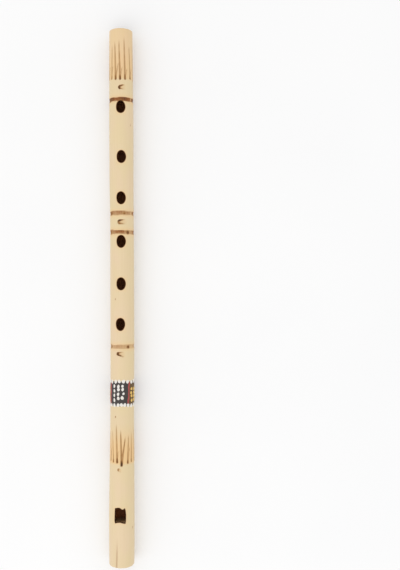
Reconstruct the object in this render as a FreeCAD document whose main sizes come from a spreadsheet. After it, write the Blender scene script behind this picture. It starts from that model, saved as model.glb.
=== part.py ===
import FreeCAD, Part
import math
import os
import Sketcher

# Bamboo duct flute, lying on a surface with its finger holes up.
# The tube runs along Y with the mouth end at -Y and the open far end at +Y. +Z is up.
# The origin is on the surface, under the middle of the tube.
# Every piece is built about the tube's axis and moved to that place at the end: while it is
# built, Y counts from the mouth end. A turn is an angle about the axis, in degrees, from the
# top line towards +X.

# The driving sizes, in millimetres, degrees or counts.
SIZES = {
    # the length of bamboo: its outline swells and narrows between these stations
    "culm_length": 400.0,
    "bore_dia": 13.8,
    "block_seat_dia": 14.2,
    "block_seat_spare": 0.6,
    "mouth_dia": 18.6,
    "grip_start": 22.0,
    "grip_end": 40.0,
    "grip_dia": 19.1,
    "waist_start": 105.0,
    "waist_end": 268.0,
    "waist_dia": 17.82,
    "upper_start": 303.0,
    "upper_end": 340.0,
    "upper_dia": 18.06,
    "far_dia": 17.3,
    "mouth_round": 1.4,
    "far_bevel": 0.7,
    "bore_bevel": 0.4,
    # the block in the mouth end and the slot of air above it
    "block_inset": 1.5,
    "windway_width": 8.0,
    "windway_height": 1.2,
    # the window, and the lip beyond it that splits the air
    "window_near": 33.7,
    "window_length": 10.6,
    "window_width": 8.3,
    "window_bulge": 0.25,
    "window_turn": -2.5,
    "lip_edge": 1.3,
    "lip_run": 4.5,
    # the six finger holes, counted from the far end
    "hole_width": 6.65,
    "hole_length": 9.2,
    "hole_one_at": 341.6,
    "hole_one_turn": 2.6,
    "hole_two_at": 304.7,
    "hole_two_turn": 4.9,
    "hole_three_at": 274.2,
    "hole_three_turn": 2.4,
    "hole_four_at": 242.0,
    "hole_four_turn": 0.7,
    "hole_five_at": 210.6,
    "hole_five_turn": -0.3,
    "hole_six_at": 180.6,
    "hole_six_turn": -4.2,
    # burnt rings
    "ring_width": 3.0,
    "ring_depth": 0.35,
    "ring_one_inset": 52.8,
    "ring_two_at": 263.0,
    "ring_three_at": 248.9,
    "ring_four_at": 164.0,
    # scoops cut across the tube with a round gouge
    "scoop_ball": 2.2,
    "scoop_depth": 1.0,
    "scoop_length": 5.2,
    "scoop_one_inset": 44.1,
    "scoop_one_turn": 2.5,
    "scoop_two_at": 256.4,
    "scoop_two_turn": -1.5,
    "scoop_three_at": 158.7,
    "scoop_three_turn": -6.0,
    # knife strokes that deepen towards the mouth end, in two zones round the tube
    "stroke_count": 14,
    "stroke_width": 2.4,
    "stroke_depth": 0.8,
    "stroke_heel": 1.6,
    "far_stroke_start_inset": 9.0,
    "far_arm_start_inset": 25.0,
    "far_stroke_end_inset": 36.0,
    "far_stroke_sway": -1.0,
    "far_arm_sway": 1.7,
    "near_stroke_start": 106.0,
    "near_arm_start": 99.0,
    "near_stroke_end": 80.0,
    "near_stroke_sway": -0.9,
    "near_arm_sway": 2.4,
    # the narrow flat that the culm lies on
    "flat_depth": 0.12,
    # the growth groove of the bamboo at the mouth end
    "furrow_length": 22.0,
    "furrow_width": 1.3,
    "furrow_depth": 0.8,
    "furrow_turn": -15.0,
    # the painted band
    "band_start": 120.3,
    "band_width": 18.1,
    "coat_thickness": 0.14,
    "black_span": 89.0,
    "line_span": 9.0,
    "panel_count": 2,
    "black_turn": -58.0,
    "dot_dia": 1.7,
    "dot_rise": 0.2,
    "dot_gap": 0.03,
    "dot_row_pitch": 3.4,
    "dot_rows": 4,
    "dot_column_pitch": 21.0,
    "dot_columns": 3,
    "edge_dot_dia": 2.7,
    "edge_dot_count": 18,
    "edge_dot_turn": 5.0,
}

# The outline's stations along the tube, with the diameter at each.
OUTLINE = [
    ("grip_start", "grip_dia"),
    ("grip_end", "grip_dia"),
    ("waist_start", "waist_dia"),
    ("waist_end", "waist_dia"),
    ("upper_start", "upper_dia"),
    ("upper_end", "upper_dia"),
    ("culm_length", "far_dia"),
]

HOLES = ["hole_one", "hole_two", "hole_three", "hole_four", "hole_five", "hole_six"]

ALONG = FreeCAD.Vector(0, 1, 0)

doc = FreeCAD.newDocument("BambooFlute")


def make_sheet():
    """The spreadsheet that holds every driving size, one row each: name and value."""
    sheet = doc.addObject("Spreadsheet::Sheet", "Sizes")
    for row, (name, value) in enumerate(SIZES.items(), start=1):
        sheet.set(f"A{row}", name)
        sheet.set(f"B{row}", str(value))
        sheet.setAlias(f"B{row}", name)
    doc.recompute()
    return sheet


def size(name):
    """The text by which an expression reads a size."""
    return f"Sizes.{name}"


def radius(name):
    """The text for half of a diameter."""
    return f"Sizes.{name}/2"


def from_mouth(name):
    """A station that is measured from the mouth end: its text and its value."""
    return size(name), SIZES[name]


def from_far_end(name):
    """A station that is measured back from the far end: its text and its value."""
    return f"({size('culm_length')}-{size(name)})", SIZES["culm_length"] - SIZES[name]


def surface(station):
    """The text for the tube's outer radius at a station, along the straight stretch there."""
    text, value = station
    start, start_dia = "0", "mouth_dia"
    for name, end_dia in OUTLINE:
        end = size(name)
        if value <= SIZES[name]:
            break
        start, start_dia = end, end_dia
    slope = f"({radius(end_dia)}-{radius(start_dia)})/({end}-{start})"
    return f"({radius(start_dia)}+({text}-{start})*{slope})"


def origin_plane(body, role):
    """One of a body's own origin planes or axes."""
    return next(item for item in body.Origin.OriginFeatures if item.Role == role)


def new_body(name):
    """An empty body whose name is the node's name."""
    body = doc.addObject("PartDesign::Body", name)
    body.Label = name
    return body


def new_sketch(body, name, role):
    """A sketch on one of the body's origin planes."""
    sketch = body.newObject("Sketcher::SketchObject", name)
    sketch.AttachmentSupport = [(origin_plane(body, role), "")]
    sketch.MapMode = "FlatFace"
    return sketch


def shift(sketch, place, axis=None, angle=None):
    """Moves a sketch from its plane: place maps x, y or z to a text, angle turns it about axis."""
    if angle is not None:
        sketch.AttachmentOffset = FreeCAD.Placement(FreeCAD.Vector(), FreeCAD.Rotation(axis, 1.0))
        sketch.setExpression("AttachmentOffset.Rotation.Angle", angle)
    for letter, text in place.items():
        sketch.setExpression(f"AttachmentOffset.Base.{letter}", text)


def bind(sketch, constraint, text):
    """Adds a size to a sketch and binds it to the spreadsheet."""
    index = sketch.addConstraint(constraint)
    name = f"size_{index}"
    sketch.renameConstraint(index, name)
    sketch.setExpression(f"Constraints.{name}", text)


def pin_point(sketch, item, end, x_text, y_text):
    """Holds one end of an item at a place given by two texts."""
    point = sketch.getPoint(item, end)
    for kind, value, text in (("DistanceX", point.x, x_text), ("DistanceY", point.y, y_text)):
        bind(sketch, Sketcher.Constraint(kind, -1, 1, item, end, value), text)


def closed_outline(sketch, corners):
    """A closed chain of straight lines through corners given as pairs of texts."""
    count = len(corners)
    rough = [FreeCAD.Vector(10 + 5 * math.cos(2 * math.pi * k / count),
                            10 + 5 * math.sin(2 * math.pi * k / count), 0)
             for k in range(count)]
    for k in range(count):
        sketch.addGeometry(Part.LineSegment(rough[k], rough[(k + 1) % count]), False)
    for k in range(count):
        sketch.addConstraint(Sketcher.Constraint("Coincident", k, 2, (k + 1) % count, 1))
    for k, (x_text, y_text) in enumerate(corners):
        pin_point(sketch, k, 1, x_text, y_text)


def turn_profile(body, name, kind, sketch, axis, angle=None):
    """A Revolution or Groove of a sketch about one of its axes."""
    feature = body.newObject(f"PartDesign::{kind}", name)
    feature.Profile = sketch
    feature.ReferenceAxis = (sketch, [axis])
    feature.Angle = 360.0
    if angle is not None:
        feature.setExpression("Angle", angle)
    return feature


def ring_pattern(body, features, count, name):
    """Repeats features evenly round the tube."""
    pattern = body.newObject("PartDesign::PolarPattern", name)
    pattern.Originals = features
    pattern.Axis = (origin_plane(body, "Y_Axis"), [""])
    pattern.Angle = 360.0
    pattern.setExpression("Occurrences", count)
    body.Tip = pattern
    return pattern


def cut_teardrop(body, name, sketch, tip, centre, ball):
    """Cuts a stroke: a cone that starts as a point at tip and ends in a ball about centre."""
    a = FreeCAD.Vector(20, 0, 0)
    c = FreeCAD.Vector(0, 3, 0)
    r = 1.0
    way = (c - a).normalize()
    side = FreeCAD.Vector(way.y, -way.x, 0)
    circle = Part.Circle(c, FreeCAD.Vector(0, 0, 1), r)
    start = circle.parameter(c + side * r)
    end = circle.parameter(c + way * r)
    if end < start:
        end += 2 * math.pi
    sketch.addGeometry(Part.LineSegment(a, c + side * r), False)
    sketch.addGeometry(Part.ArcOfCircle(circle, start, end), False)
    sketch.addGeometry(Part.LineSegment(c + way * r, a), False)
    sketch.addGeometry(Part.LineSegment(a, c), True)
    sketch.addConstraint(Sketcher.Constraint("Tangent", 0, 2, 1, 1))
    sketch.addConstraint(Sketcher.Constraint("Coincident", 1, 2, 2, 1))
    sketch.addConstraint(Sketcher.Constraint("Coincident", 2, 2, 0, 1))
    sketch.addConstraint(Sketcher.Constraint("Coincident", 3, 1, 0, 1))
    sketch.addConstraint(Sketcher.Constraint("Coincident", 3, 2, 1, 3))
    sketch.addConstraint(Sketcher.Constraint("PointOnObject", 1, 3, 2))
    bind(sketch, Sketcher.Constraint("Radius", 1, r), ball)
    pin_point(sketch, 0, 1, *tip)
    pin_point(sketch, 1, 3, *centre)
    return turn_profile(body, name, "Groove", sketch, "Axis0")


def cut_pocket(body, name, sketch, depth, upward=True):
    """Cuts a sketch into the body, away from the axis when upward."""
    pocket = body.newObject("PartDesign::Pocket", name)
    pocket.Profile = sketch
    pocket.Reversed = upward
    pocket.setExpression("Length", depth)
    return pocket


def cut_finger_hole(body, name):
    """One oval hole through the top wall, burnt square to the tube."""
    sketch = new_sketch(body, f"{name}_oval", "XY_Plane")
    shift(sketch, {"y": size(f"{name}_at")}, ALONG, size(f"{name}_turn"))
    centre = FreeCAD.Vector(0, 0, 0)
    far_point = FreeCAD.Vector(0, SIZES["hole_length"] / 2, 0)
    side_point = FreeCAD.Vector(SIZES["hole_width"] / 2, 0, 0)
    sketch.addGeometry(Part.Ellipse(far_point, side_point, centre), False)
    sketch.exposeInternalGeometry(0)
    sketch.addConstraint(Sketcher.Constraint("Coincident", 0, 3, -1, 1))
    sketch.addConstraint(Sketcher.Constraint("Vertical", 1))
    bind(sketch, Sketcher.Constraint("Distance", 1, SIZES["hole_length"]), size("hole_length"))
    bind(sketch, Sketcher.Constraint("Distance", 2, SIZES["hole_width"]), size("hole_width"))
    return cut_pocket(body, name, sketch, size("grip_dia"))


def cut_ring(body, name, station):
    """A shallow V groove all round the tube."""
    sketch = new_sketch(body, f"{name}_section", "XY_Plane")
    top, half, depth = surface(station), f"{size('ring_width')}/2", size("ring_depth")
    at = station[0]
    closed_outline(sketch, [
        (f"{top}-{depth}", at),
        (f"{top}+{depth}", f"{at}-{half}*2"),
        (f"{top}+{depth}", f"{at}+{half}*2"),
    ])
    return turn_profile(body, name, "Groove", sketch, "V_Axis")


def cut_window(body):
    """The window in the top wall: near and far edges bulge a little into the opening."""
    sketch = new_sketch(body, "window_outline", "XY_Plane")
    shift(sketch, {"y": size("window_near")}, ALONG, size("window_turn"))
    half, length = f"{size('window_width')}/2", size("window_length")
    bulge = size("window_bulge")
    corners = [(f"-({half})", "0"), (half, "0"), (half, length), (f"-({half})", length)]
    rough = [FreeCAD.Vector(-4, 1, 0), FreeCAD.Vector(4, 1, 0),
             FreeCAD.Vector(4, 9, 0), FreeCAD.Vector(-4, 9, 0)]
    near_middle = FreeCAD.Vector(0, 2, 0)
    far_middle = FreeCAD.Vector(0, 8, 0)
    sketch.addGeometry(Part.Arc(rough[0], near_middle, rough[1]), False)
    sketch.addGeometry(Part.LineSegment(rough[1], rough[2]), False)
    sketch.addGeometry(Part.Arc(rough[2], far_middle, rough[3]), False)
    sketch.addGeometry(Part.LineSegment(rough[3], rough[0]), False)
    # an arc runs anticlockwise whichever way it was drawn, so its ends are found by their places
    ends = {}
    for item in (0, 2):
        left, right = sorted((1, 2), key=lambda end: sketch.getPoint(item, end).x)
        ends[item] = (left, right)
    sketch.addConstraint(Sketcher.Constraint("Coincident", 0, ends[0][1], 1, 1))
    sketch.addConstraint(Sketcher.Constraint("Coincident", 1, 2, 2, ends[2][1]))
    sketch.addConstraint(Sketcher.Constraint("Coincident", 2, ends[2][0], 3, 1))
    sketch.addConstraint(Sketcher.Constraint("Coincident", 3, 2, 0, ends[0][0]))
    pin_point(sketch, 1, 1, *corners[1])
    pin_point(sketch, 1, 2, *corners[2])
    pin_point(sketch, 3, 1, *corners[3])
    pin_point(sketch, 3, 2, *corners[0])
    arc = f"(({half})^2+{bulge}^2)/(2*{bulge})"
    for item in (0, 2):
        bind(sketch, Sketcher.Constraint("Radius", item, sketch.Geometry[item].Radius), arc)
    return cut_pocket(body, "window", sketch, size("grip_dia"))


def cut_lip(body):
    """The slope under the window's far edge, cut from inside, that leaves a thin lip."""
    sketch = new_sketch(body, "lip_section", "YZ_Plane")
    shift(sketch, {"x": f"{size('window_near')}+{size('window_length')}"},
          FreeCAD.Vector(1, 0, 0), size("window_turn"))
    inside = f"{radius('bore_dia')}-{size('windway_height')}"
    edge = f"{radius('grip_dia')}-{size('lip_edge')}"
    closed_outline(sketch, [
        (f"-{size('lip_run')}/4", inside),
        (size("lip_run"), inside),
        (size("lip_run"), f"{radius('bore_dia')}-{size('windway_height')}/4"),
        ("0", edge),
        (f"-{size('lip_run')}/4", edge),
    ])
    pocket = body.newObject("PartDesign::Pocket", "lip")
    pocket.Profile = sketch
    pocket.SideType = "Symmetric"
    pocket.setExpression("Length", size("window_width"))
    return pocket


def cut_scoop(body, name, station):
    """A gouge mark across the tube, deep at its -X end and running out towards +X."""
    sketch = new_sketch(body, f"{name}_section", "XZ_Plane")
    shift(sketch, {"z": f"-{station[0]}"}, FreeCAD.Vector(0, 0, 1), f"-{size(name + '_turn')}")
    floor = f"{surface(station)}-{size('scoop_depth')}"
    tip = (size("scoop_length"), floor)
    centre = ("0", f"{floor}+{size('scoop_ball')}")
    return cut_teardrop(body, name, sketch, tip, centre, size("scoop_ball"))


def loft_point(body, name, station, x_text, z_text, turn):
    """A section that is a single point, where a cut runs out to nothing."""
    sketch = new_sketch(body, name, "XZ_Plane")
    shift(sketch, {"z": f"-({station})"}, FreeCAD.Vector(0, 0, 1), f"-{turn}")
    sketch.addGeometry(Part.Point(FreeCAD.Vector(1, 9, 0)), False)
    pin_point(sketch, 0, 1, x_text, z_text)
    return sketch


def loft_notch(body, name, station, skin, width, depth, turn):
    """A V section, as wide as width at the tube's skin and standing a little above it."""
    sketch = new_sketch(body, name, "XZ_Plane")
    shift(sketch, {"z": f"-({station})"}, FreeCAD.Vector(0, 0, 1), f"-{turn}")
    rise = f"({depth}/2)"
    half = f"({width}/2*(1+{rise}/{depth}))"
    closed_outline(sketch, [("0", f"{skin}-{depth}"), (half, f"{skin}+{rise}"),
                            (f"-{half}", f"{skin}+{rise}")])
    return sketch


def cut_loft(body, name, notch, point):
    """Cuts straight-sided from a notch to the point where the cut runs out."""
    loft = body.newObject("PartDesign::SubtractiveLoft", name)
    loft.Profile = notch
    loft.Sections = [point]
    loft.Ruled = True
    return loft


def cut_strokes(body, name, end, start, sway, heel=None):
    """A ring of knife strokes: each starts as a point and deepens towards the mouth end.
    sway is how far the start lies to the side of the end, and heel the length of a short far side."""
    side = size(sway)
    top = surface(start)
    notch = loft_notch(body, f"{name}_end", end[0], surface(end),
                       size("stroke_width"), size("stroke_depth"), "0")
    tip = loft_point(body, f"{name}_start", start[0], side, f"sqrt({top}^2-{side}^2)", "0")
    cuts = [cut_loft(body, f"{name}_cut", notch, tip)]
    if heel is not None:
        foot = f"{end[0]}-{size(heel)}"
        point = loft_point(body, f"{name}_foot", foot, "0", surface(end), "0")
        cuts.append(cut_loft(body, f"{name}_heel", notch, point))
    return ring_pattern(body, cuts, size("stroke_count"), name)


def cut_stroke_zones(body):
    """The two zones of strokes: in each, long strokes and short arms meet at the same deep ends."""
    far_end, near_end = from_far_end("far_stroke_end_inset"), from_mouth("near_stroke_end")
    far_start, near_start = from_far_end("far_stroke_start_inset"), from_mouth("near_stroke_start")
    far_arm, near_arm = from_far_end("far_arm_start_inset"), from_mouth("near_arm_start")
    cut_strokes(body, "far_strokes", far_end, far_start, "far_stroke_sway", "stroke_heel")
    cut_strokes(body, "far_arms", far_end, far_arm, "far_arm_sway")
    cut_strokes(body, "near_strokes", near_end, near_start, "near_stroke_sway", "stroke_heel")
    cut_strokes(body, "near_arms", near_end, near_arm, "near_arm_sway")


def cut_furrow(body):
    """The shallow growth groove that starts at the mouth end and fades out."""
    turn = size("furrow_turn")
    notch = loft_notch(body, "furrow_end", "0", radius("mouth_dia"),
                       size("furrow_width"), size("furrow_depth"), turn)
    end = from_mouth("furrow_length")
    tip = loft_point(body, "furrow_start", end[0], "0", surface(end), turn)
    return cut_loft(body, "furrow", notch, tip)


def cut_flat(body):
    """The narrow flat along the underside, which takes the same depth off both swellings."""
    near, far = f"{size('flat_depth')}-{radius('grip_dia')}", f"{size('flat_depth')}-{radius('upper_dia')}"
    slope = f"({far}-({near}))/({size('upper_end')}-{size('grip_start')})"
    at_mouth = f"{near}-{size('grip_start')}*{slope}"
    at_far_end = f"{far}+({size('culm_length')}-{size('upper_end')})*{slope}"
    low = f"-{size('grip_dia')}"
    sketch = new_sketch(body, "flat_section", "YZ_Plane")
    closed_outline(sketch, [("0", at_mouth), ("0", low),
                            (size("culm_length"), low), (size("culm_length"), at_far_end)])
    pocket = body.newObject("PartDesign::Pocket", "flat")
    pocket.Profile = sketch
    pocket.SideType = "Symmetric"
    pocket.setExpression("Length", size("grip_dia"))
    return pocket


def end_edges(shape, station, dia):
    """Names of the round edges of a shape at a station along the tube, with a diameter."""
    names = []
    for index, edge in enumerate(shape.Edges, start=1):
        box = edge.BoundBox
        flat = abs(box.YMin - station) < 1e-4 and abs(box.YMax - station) < 1e-4
        if flat and abs(box.XLength - dia) < 1e-3:
            names.append(f"Edge{index}")
    return names


def make_tube():
    """The bamboo: turned outline and bore, then holes, window, rings, scoops and strokes."""
    body = new_body("bamboo_tube")
    sketch = new_sketch(body, "culm_outline", "XY_Plane")
    shoulder = f"{size('window_near')}+{size('block_seat_spare')}"
    corners = [(radius("bore_dia"), shoulder), (radius("block_seat_dia"), shoulder),
               (radius("block_seat_dia"), "0"), (radius("mouth_dia"), "0")]
    corners += [(radius(dia), size(station)) for station, dia in OUTLINE]
    corners.append((radius("bore_dia"), size("culm_length")))
    closed_outline(sketch, corners)
    culm = turn_profile(body, "culm", "Revolution", sketch, "V_Axis")
    doc.recompute()
    far_end = SIZES["culm_length"]
    mouth_wall = f"({radius('mouth_dia')}-{radius('block_seat_dia')})"
    far_wall = f"({radius('far_dia')}-{radius('bore_dia')})"
    edges = [("mouth_edge", "Fillet", "Radius", 0.0, "mouth_dia", "mouth_round", mouth_wall),
             ("far_edge", "Chamfer", "Size", far_end, "far_dia", "far_bevel", f"{far_wall}/2"),
             ("far_bore_edge", "Chamfer", "Size", far_end, "bore_dia", "bore_bevel", f"{far_wall}/2")]
    last = culm
    for name, kind, setting, station, dia, amount, room in edges:
        feature = body.newObject(f"PartDesign::{kind}", name)
        feature.Base = (last, end_edges(last.Shape, station, SIZES[dia]))
        feature.setExpression(setting, f"min({size(amount)}; 0.9*{room})")
        doc.recompute()
        last = feature
    cut_ring(body, "ring_one", from_far_end("ring_one_inset"))
    cut_ring(body, "ring_two", from_mouth("ring_two_at"))
    cut_ring(body, "ring_three", from_mouth("ring_three_at"))
    cut_ring(body, "ring_four", from_mouth("ring_four_at"))
    cut_stroke_zones(body)
    cut_scoop(body, "scoop_one", from_far_end("scoop_one_inset"))
    cut_scoop(body, "scoop_two", from_mouth("scoop_two_at"))
    cut_scoop(body, "scoop_three", from_mouth("scoop_three_at"))
    cut_furrow(body)
    cut_flat(body)
    for name in HOLES:
        cut_finger_hole(body, name)
    cut_window(body)
    body.Tip = cut_lip(body)
    return body


def make_block():
    """The plug in the mouth end, flattened on top to leave the windway."""
    body = new_body("fipple_block")
    sketch = new_sketch(body, "block_section", "XZ_Plane")
    shift(sketch, {"z": f"-{size('block_inset')}"})
    circle = Part.Circle(FreeCAD.Vector(0, 0, 0), FreeCAD.Vector(0, 0, 1), 5.0)
    sketch.addGeometry(circle, False)
    sketch.addConstraint(Sketcher.Constraint("Coincident", 0, 3, -1, 1))
    bind(sketch, Sketcher.Constraint("Radius", 0, 5.0), radius("block_seat_dia"))
    plug = body.newObject("PartDesign::Pad", "plug")
    plug.Profile = sketch
    plug.Reversed = True
    plug.setExpression("Length", f"{size('window_near')}-{size('block_inset')}")
    slot = new_sketch(body, "windway_section", "XZ_Plane")
    shift(slot, {}, FreeCAD.Vector(0, 0, 1), f"-{size('window_turn')}")
    half = f"{size('windway_width')}/2"
    floor = f"{radius('block_seat_dia')}-{size('windway_height')}"
    closed_outline(slot, [(f"-({half})", floor), (half, floor),
                          (half, radius("mouth_dia")), (f"-({half})", radius("mouth_dia"))])
    body.Tip = cut_pocket(body, "windway", slot, size("window_near"), upward=False)
    return body


def make_panels(name, panels):
    """Coats of paint over parts of the band, each a first turn and a span, repeated round it."""
    body = new_body(name)
    body.AllowCompound = True
    inner = radius("waist_dia")
    outer = f"{inner}+{size('coat_thickness')}"
    coats = []
    for index, (first_turn, span) in enumerate(panels):
        sketch = new_sketch(body, f"{name}_section_{index}", "YZ_Plane")
        shift(sketch, {"x": size("band_start")}, FreeCAD.Vector(1, 0, 0), first_turn)
        closed_outline(sketch, [("0", inner), (size("band_width"), inner),
                                (size("band_width"), outer), ("0", outer)])
        coats.append(turn_profile(body, f"{name}_coat_{index}", "Revolution", sketch, "H_Axis", span))
    ring_pattern(body, coats, size("panel_count"), f"{name}_round")
    return body


def make_rod(name, dia, start, length):
    """A plain rod on the tube's axis."""
    rod = doc.addObject("Part::Cylinder", name)
    rod.Placement = FreeCAD.Placement(FreeCAD.Vector(), FreeCAD.Rotation(FreeCAD.Vector(1, 0, 0), -90))
    rod.setExpression("Radius", f"({dia})/2")
    rod.setExpression("Height", length)
    rod.setExpression("Placement.Base.y", start)
    return rod


def make_dot_seat():
    """What the dots sit on: the bare bamboo, and the coats over it within the band, with a hair's gap."""
    spare = size("edge_dot_dia")
    start, length = size("band_start"), size("band_width")
    bare_dia = f"{size('waist_dia')}+2*{size('dot_gap')}"
    bamboo = make_rod("seat_bamboo", bare_dia, f"{start}-{spare}", f"{length}+2*{spare}")
    coat = make_rod("seat_coat", f"{bare_dia}+2*{size('coat_thickness')}", start, length)
    seat = doc.addObject("Part::Fuse", "dot_seat")
    seat.Base, seat.Tool = bamboo, coat
    return seat


def make_dots(name, seat, spots):
    """Raised dots of paint: six-sided pins out from the axis, less all that lies under them.
    A spot is a diameter, a station and a turn."""
    pins = []
    for index, (dia, station, turn) in enumerate(spots):
        pin = doc.addObject("Part::Prism", f"{name}_pin_{index}")
        pin.Polygon = 6
        pin.Placement = FreeCAD.Placement(FreeCAD.Vector(), FreeCAD.Rotation(ALONG, 1.0))
        pin.setExpression("Circumradius", f"{dia}/2")
        pin.setExpression("Height", f"{radius('waist_dia')}+{size('coat_thickness')}+{size('dot_rise')}")
        pin.setExpression("Placement.Base.y", station)
        pin.setExpression("Placement.Rotation.Angle", turn)
        pins.append(pin)
    sheaf = doc.addObject("Part::Compound", f"{name}_pins")
    sheaf.Links = pins
    dots = doc.addObject("Part::Cut", name)
    dots.Base, dots.Tool = sheaf, seat
    dots.Label = name
    return dots


def panel_spots(middle_turn):
    """Rows and columns of dots about the middle of each like panel."""
    rows, columns, panels = (int(SIZES[key]) for key in ("dot_rows", "dot_columns", "panel_count"))
    spots = []
    for panel in range(panels):
        for column in range(columns):
            turn = (f"{middle_turn}+{panel}*360/{size('panel_count')}"
                    f"+({column}-({size('dot_columns')}-1)/2)*{size('dot_column_pitch')}")
            for row in range(rows):
                station = (f"{size('band_start')}+{size('band_width')}/2"
                           f"+({row}-({size('dot_rows')}-1)/2)*{size('dot_row_pitch')}")
                spots.append((size("dot_dia"), station, turn))
    return spots


def edge_spots():
    """The larger dots that stand in a row along each edge of the band."""
    spots = []
    for station in (size("band_start"), f"{size('band_start')}+{size('band_width')}"):
        for index in range(int(SIZES["edge_dot_count"])):
            turn = f"{size('edge_dot_turn')}+{index}*360/{size('edge_dot_count')}"
            spots.append((size("edge_dot_dia"), station, turn))
    return spots


def place(node):
    """Moves a finished piece so that the flute lies on the surface, its middle at the origin."""
    node.setExpression("Placement.Base.y", f"-{size('culm_length')}/2")
    node.setExpression("Placement.Base.z", f"{radius('grip_dia')}-{size('flat_depth')}")


def check(nodes):
    """Stops unless every object came out sound and every piece is a valid solid."""
    for item in doc.Objects:
        if "Invalid" in item.State or "Error" in item.State:
            raise RuntimeError(f"{item.Name} failed: {item.getStatusString()}")
    for node in nodes:
        if node.Shape.isNull() or not node.Shape.isValid() or not node.Shape.Solids:
            raise RuntimeError(f"{node.Label} is not a valid solid")


def main():
    make_sheet()
    black_end = f"{size('black_turn')}+{size('black_span')}"
    repeat = f"360/{size('panel_count')}"
    ochre_turn = f"{black_end}+{size('line_span')}"
    ochre_span = f"{repeat}-{size('black_span')}-2*{size('line_span')}"
    seat = make_dot_seat()
    nodes = [
        make_tube(),
        make_block(),
        make_panels("black_panels", [(size("black_turn"), size("black_span"))]),
        make_panels("ochre_panels", [(ochre_turn, ochre_span)]),
        make_panels("red_lines", [(black_end, size("line_span")),
                                  (f"{size('black_turn')}-{size('line_span')}", size("line_span"))]),
        make_dots("white_dots", seat,
                  edge_spots() + panel_spots(f"{size('black_turn')}+{size('black_span')}/2")),
        make_dots("ochre_dots", seat, panel_spots(f"{ochre_turn}+({ochre_span})/2")),
    ]
    for node in nodes:
        place(node)
    doc.recompute()
    check(nodes)
    os.makedirs("parts", exist_ok=True)
    for node in nodes:
        node.Shape.exportStep(f"parts/{node.Label}.step")
        box = node.Shape.BoundBox
        print(f"{node.Label}: {len(node.Shape.Solids)} solids, {node.Shape.Volume:.2f} mm3, "
              f"X {box.XMin:.2f} to {box.XMax:.2f}, Y {box.YMin:.2f} to {box.YMax:.2f}, "
              f"Z {box.ZMin:.2f} to {box.ZMax:.2f}")


main()
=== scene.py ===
import math

import bmesh
import bpy
import numpy as np
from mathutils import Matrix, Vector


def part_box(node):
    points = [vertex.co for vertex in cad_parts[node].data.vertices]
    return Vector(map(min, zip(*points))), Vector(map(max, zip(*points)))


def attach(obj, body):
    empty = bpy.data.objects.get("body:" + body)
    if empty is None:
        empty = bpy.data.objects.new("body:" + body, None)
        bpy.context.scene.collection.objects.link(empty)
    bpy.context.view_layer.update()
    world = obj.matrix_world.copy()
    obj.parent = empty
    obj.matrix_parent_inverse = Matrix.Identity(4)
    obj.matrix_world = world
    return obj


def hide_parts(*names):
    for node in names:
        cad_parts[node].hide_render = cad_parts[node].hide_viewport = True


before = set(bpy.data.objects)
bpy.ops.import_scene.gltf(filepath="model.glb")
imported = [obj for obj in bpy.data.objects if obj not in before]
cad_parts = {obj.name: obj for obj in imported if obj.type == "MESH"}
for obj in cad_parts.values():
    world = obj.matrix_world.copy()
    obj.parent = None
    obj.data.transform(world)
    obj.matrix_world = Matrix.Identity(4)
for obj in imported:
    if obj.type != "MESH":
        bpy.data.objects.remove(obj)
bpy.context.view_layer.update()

bl_info = {
    "name": "Bamboo duct flute",
    "version": (1, 0, 0),
    "blender": (4, 5, 0),
    "location": "3D View > Sidebar > Flute",
    "description": "A bamboo whistle flute with oval finger holes, burnt carving and a dotted band",
    "category": "Object",
}

# The flute lies along Y with its mouth end at -Y and its finger holes up.
# A station is a distance in millimetres from the mouth end. A turn is an angle in degrees about
# the tube's axis, from the line through the finger holes towards +X.

TUBE_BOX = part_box("bamboo_tube")
LENGTH = (TUBE_BOX[1][1] - TUBE_BOX[0][1]) * 1000
GRIP_RADIUS = 9.55
FLAT_DEPTH = 0.12
AXIS_HEIGHT = GRIP_RADIUS - FLAT_DEPTH
# the narrow flat under the tube leaves the surface at this station and rises by this slope
FLAT_START = 22.0
FLAT_SLOPE = 0.00164
# how far out of round the culm is, in two waves and in three waves round it
OUT_OF_ROUND = (0.02, 0.014)

# outer radius of the culm at a row of stations, in millimetres
OUTLINE = [(0, 9.38), (8, 9.47), (20, 9.53), (32, 9.55), (44, 9.51), (62, 9.34), (85, 9.14),
           (105, 8.93), (165, 8.90), (230, 8.88), (262, 8.82), (285, 8.91), (303, 9.0), (320, 9.03),
           (338, 9.02), (350, 8.93), (362, 8.83), (380, 8.74), (400, 8.66)]
# how far the culm wanders to the side: station, shift along X in millimetres
BOW = [(0, 0.0), (20, 0.0), (40, -0.02), (63, 0.1), (102, 0.24), (158, 0.4), (211, 0.24), (257, 0.06),
       (285, -0.26), (325, -0.38), (362, -0.6), (400, -0.78)]

# finger holes: station, turn
HOLES = [(341.6, 2.6), (304.7, 4.9), (274.2, 2.4), (242.0, 0.7), (210.6, -0.3), (180.6, -4.2)]
# half the width and length of a finger hole's scorched rim, and the culm's radius round the holes
HOLE_RIM = (3.28, 4.6)
HOLES_RADIUS = 8.95
# the window: station and turn of its middle, and its uneven edge in millimetres from there: across,
# along
WINDOW_AT = (39.0, -2.5)
WINDOW_EDGE = [(-3.9, 5.55), (-1.9, 6.05), (-0.3, 6.1), (0.75, 5.35), (1.75, 4.65), (2.6, 5.15), (3.45, 5.75),
               (3.95, 4.0), (4.3, 1.0), (4.3, -1.5), (4.2, -4.5), (3.85, -5.8),
               (2.1, -5.45), (0.2, -4.75), (-1.9, -4.95), (-3.8, -5.6),
               (-4.25, -3.9), (-4.1, 0.6), (-4.0, 3.6)]

# how far round each finger hole and the window the tube's even faces are left out: along, in degrees
HOLE_GAP = (6.0, 35.0)
WINDOW_GAP = (7.4, 42.5)
# how far an opening's rim is eased, and the culm's radius that first guesses at the rim start from
RIM_EASE = 0.2
GAP_RADIUS = 8.9

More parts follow.
